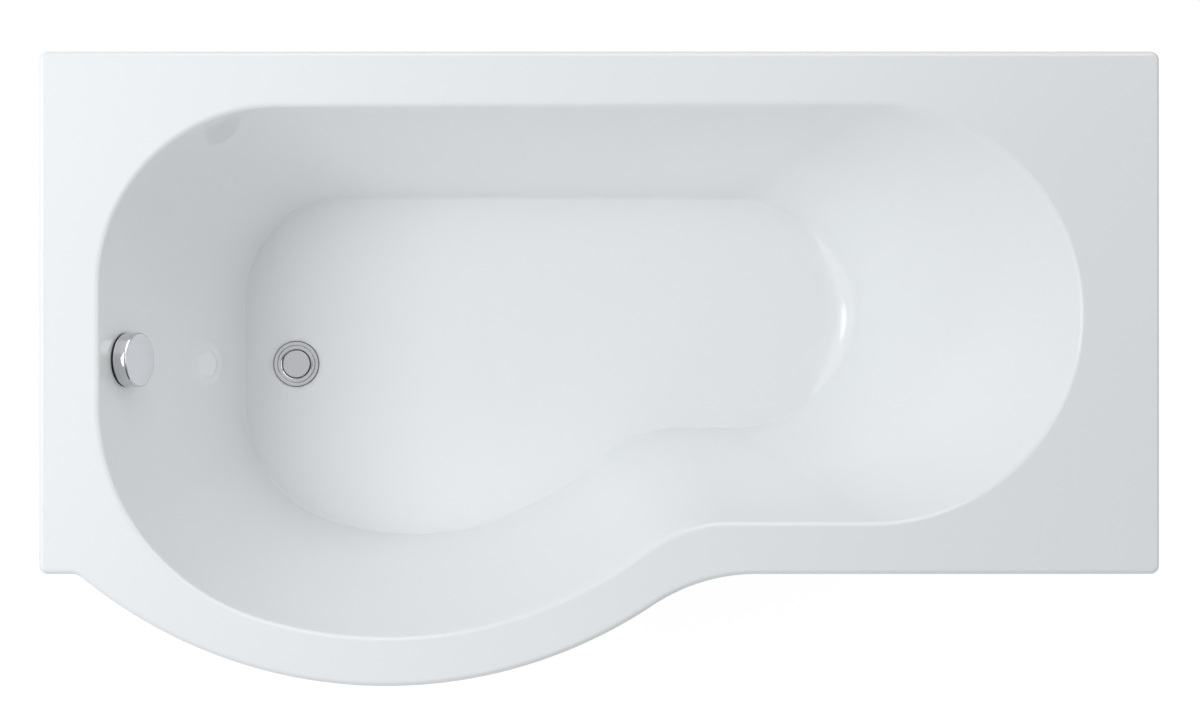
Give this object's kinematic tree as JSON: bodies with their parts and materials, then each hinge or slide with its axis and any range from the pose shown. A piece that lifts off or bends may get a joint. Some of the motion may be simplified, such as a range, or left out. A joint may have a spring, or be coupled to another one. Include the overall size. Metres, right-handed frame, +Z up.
{
  "type": "p shaped shower bath",
  "caption": "P shaped shower bath, left hand, with a rounded wide shower end, adjustable legs, pop-up waste and overflow with turning control knob.",
  "frame": {"origin": "on the floor, below the middle of the rim's outer box", "axes": "+X along the bath from the head (waste) end to the foot end, +Y across it towards the wall, +Z up"},
  "size_m": [1.5, 0.85, 0.55],
  "materials": {
    "acrylic": "high gloss white acrylic",
    "laminate": "sprayed glass fibre and resin, rough",
    "timber": "sawn board",
    "zinc_steel": "zinc plated",
    "grey_plastic": "moulded",
    "rubber": "matt",
    "chrome": "polished chrome plate",
    "white_plastic": "moulded"
  },
  "bodies": {
    "bath": {"bath_shell": "acrylic", "grp_backing": "laminate", "baseboard": "timber", "batten_back": "timber", "batten_head": "timber", "batten_foot": "timber", "batten_front": "timber", "batten_bulge": "timber", "crossbar_head": "zinc_steel", "crossbar_foot": "zinc_steel", "middle_leg_bracket": "zinc_steel", "frame_screws": "zinc_steel", "leg_nuts": "zinc_steel", "wall_bracket_left": "zinc_steel", "wall_bracket_right": "zinc_steel", "bracket_screws": "zinc_steel", "waste_washer": "rubber", "waste_flange": "chrome", "waste_gasket": "rubber", "waste_body": "white_plastic", "control_cable": "rubber", "cable_clip": "white_plastic", "overflow_plate": "chrome", "overflow_screws": "zinc_steel", "overflow_gasket": "rubber", "overflow_body": "white_plastic", "overflow_hose": "grey_plastic", "hose_nuts": "white_plastic"},
    "knob": {"overflow_knob": "chrome", "overflow_spindle": "zinc_steel"},
    "wire": {"cable_wire": "zinc_steel"},
    "lever": {"lift_lever": "zinc_steel"},
    "plug": {"plug_cap": "chrome", "plug_seal": "rubber", "plug_stem": "zinc_steel"},
    "foot_1": {"leg_stud_1": "zinc_steel", "foot_pad_1": "grey_plastic"},
    "foot_2": {"leg_stud_2": "zinc_steel", "foot_pad_2": "grey_plastic"},
    "foot_3": {"leg_stud_3": "zinc_steel", "foot_pad_3": "grey_plastic"},
    "foot_4": {"leg_stud_4": "zinc_steel", "foot_pad_4": "grey_plastic"},
    "foot_5": {"leg_stud_5": "zinc_steel", "foot_pad_5": "grey_plastic"}
  },
  "joints": [
    {"name": "knob_turn", "type": "hinge", "parent": "bath", "child": "knob", "pos_m": [-0.6487, 0.012, 0.486], "axis": [0.9532, 0, 0.3023], "range_deg": [0, 90]},
    {"name": "wire_slide", "type": "slide", "parent": "bath", "child": "wire", "axis": [-1, 0, 0], "range_m": [0, 0.00942]},
    {"name": "lever_swing", "type": "hinge", "parent": "bath", "child": "lever", "pos_m": [-0.48413, 0.006, 0.1038], "axis": [0, -1, 0], "range_deg": [0, 36.62]},
    {"name": "plug_lift", "type": "slide", "parent": "bath", "child": "plug", "axis": [0, 0, 1], "range_m": [0, 0.012]},
    {"name": "foot_1_height", "type": "slide", "parent": "bath", "child": "foot_1", "axis": [0, 0, -1], "range_m": [-0.01, 0.03]},
    {"name": "foot_2_height", "type": "slide", "parent": "bath", "child": "foot_2", "axis": [0, 0, -1], "range_m": [-0.01, 0.03]},
    {"name": "foot_3_height", "type": "slide", "parent": "bath", "child": "foot_3", "axis": [0, 0, -1], "range_m": [-0.01, 0.03]},
    {"name": "foot_4_height", "type": "slide", "parent": "bath", "child": "foot_4", "axis": [0, 0, -1], "range_m": [-0.01, 0.03]},
    {"name": "foot_5_height", "type": "slide", "parent": "bath", "child": "foot_5", "axis": [0, 0, -1], "range_m": [-0.01, 0.03]}
  ],
  "couplings": [
    {"joint": "wire_slide", "follows": "knob_turn", "m_per_rad": 0.006},
    {"joint": "lever_swing", "follows": "knob_turn", "ratio": 0.40689},
    {"joint": "plug_lift", "follows": "knob_turn", "m_per_rad": 0.0076394}
  ]
}
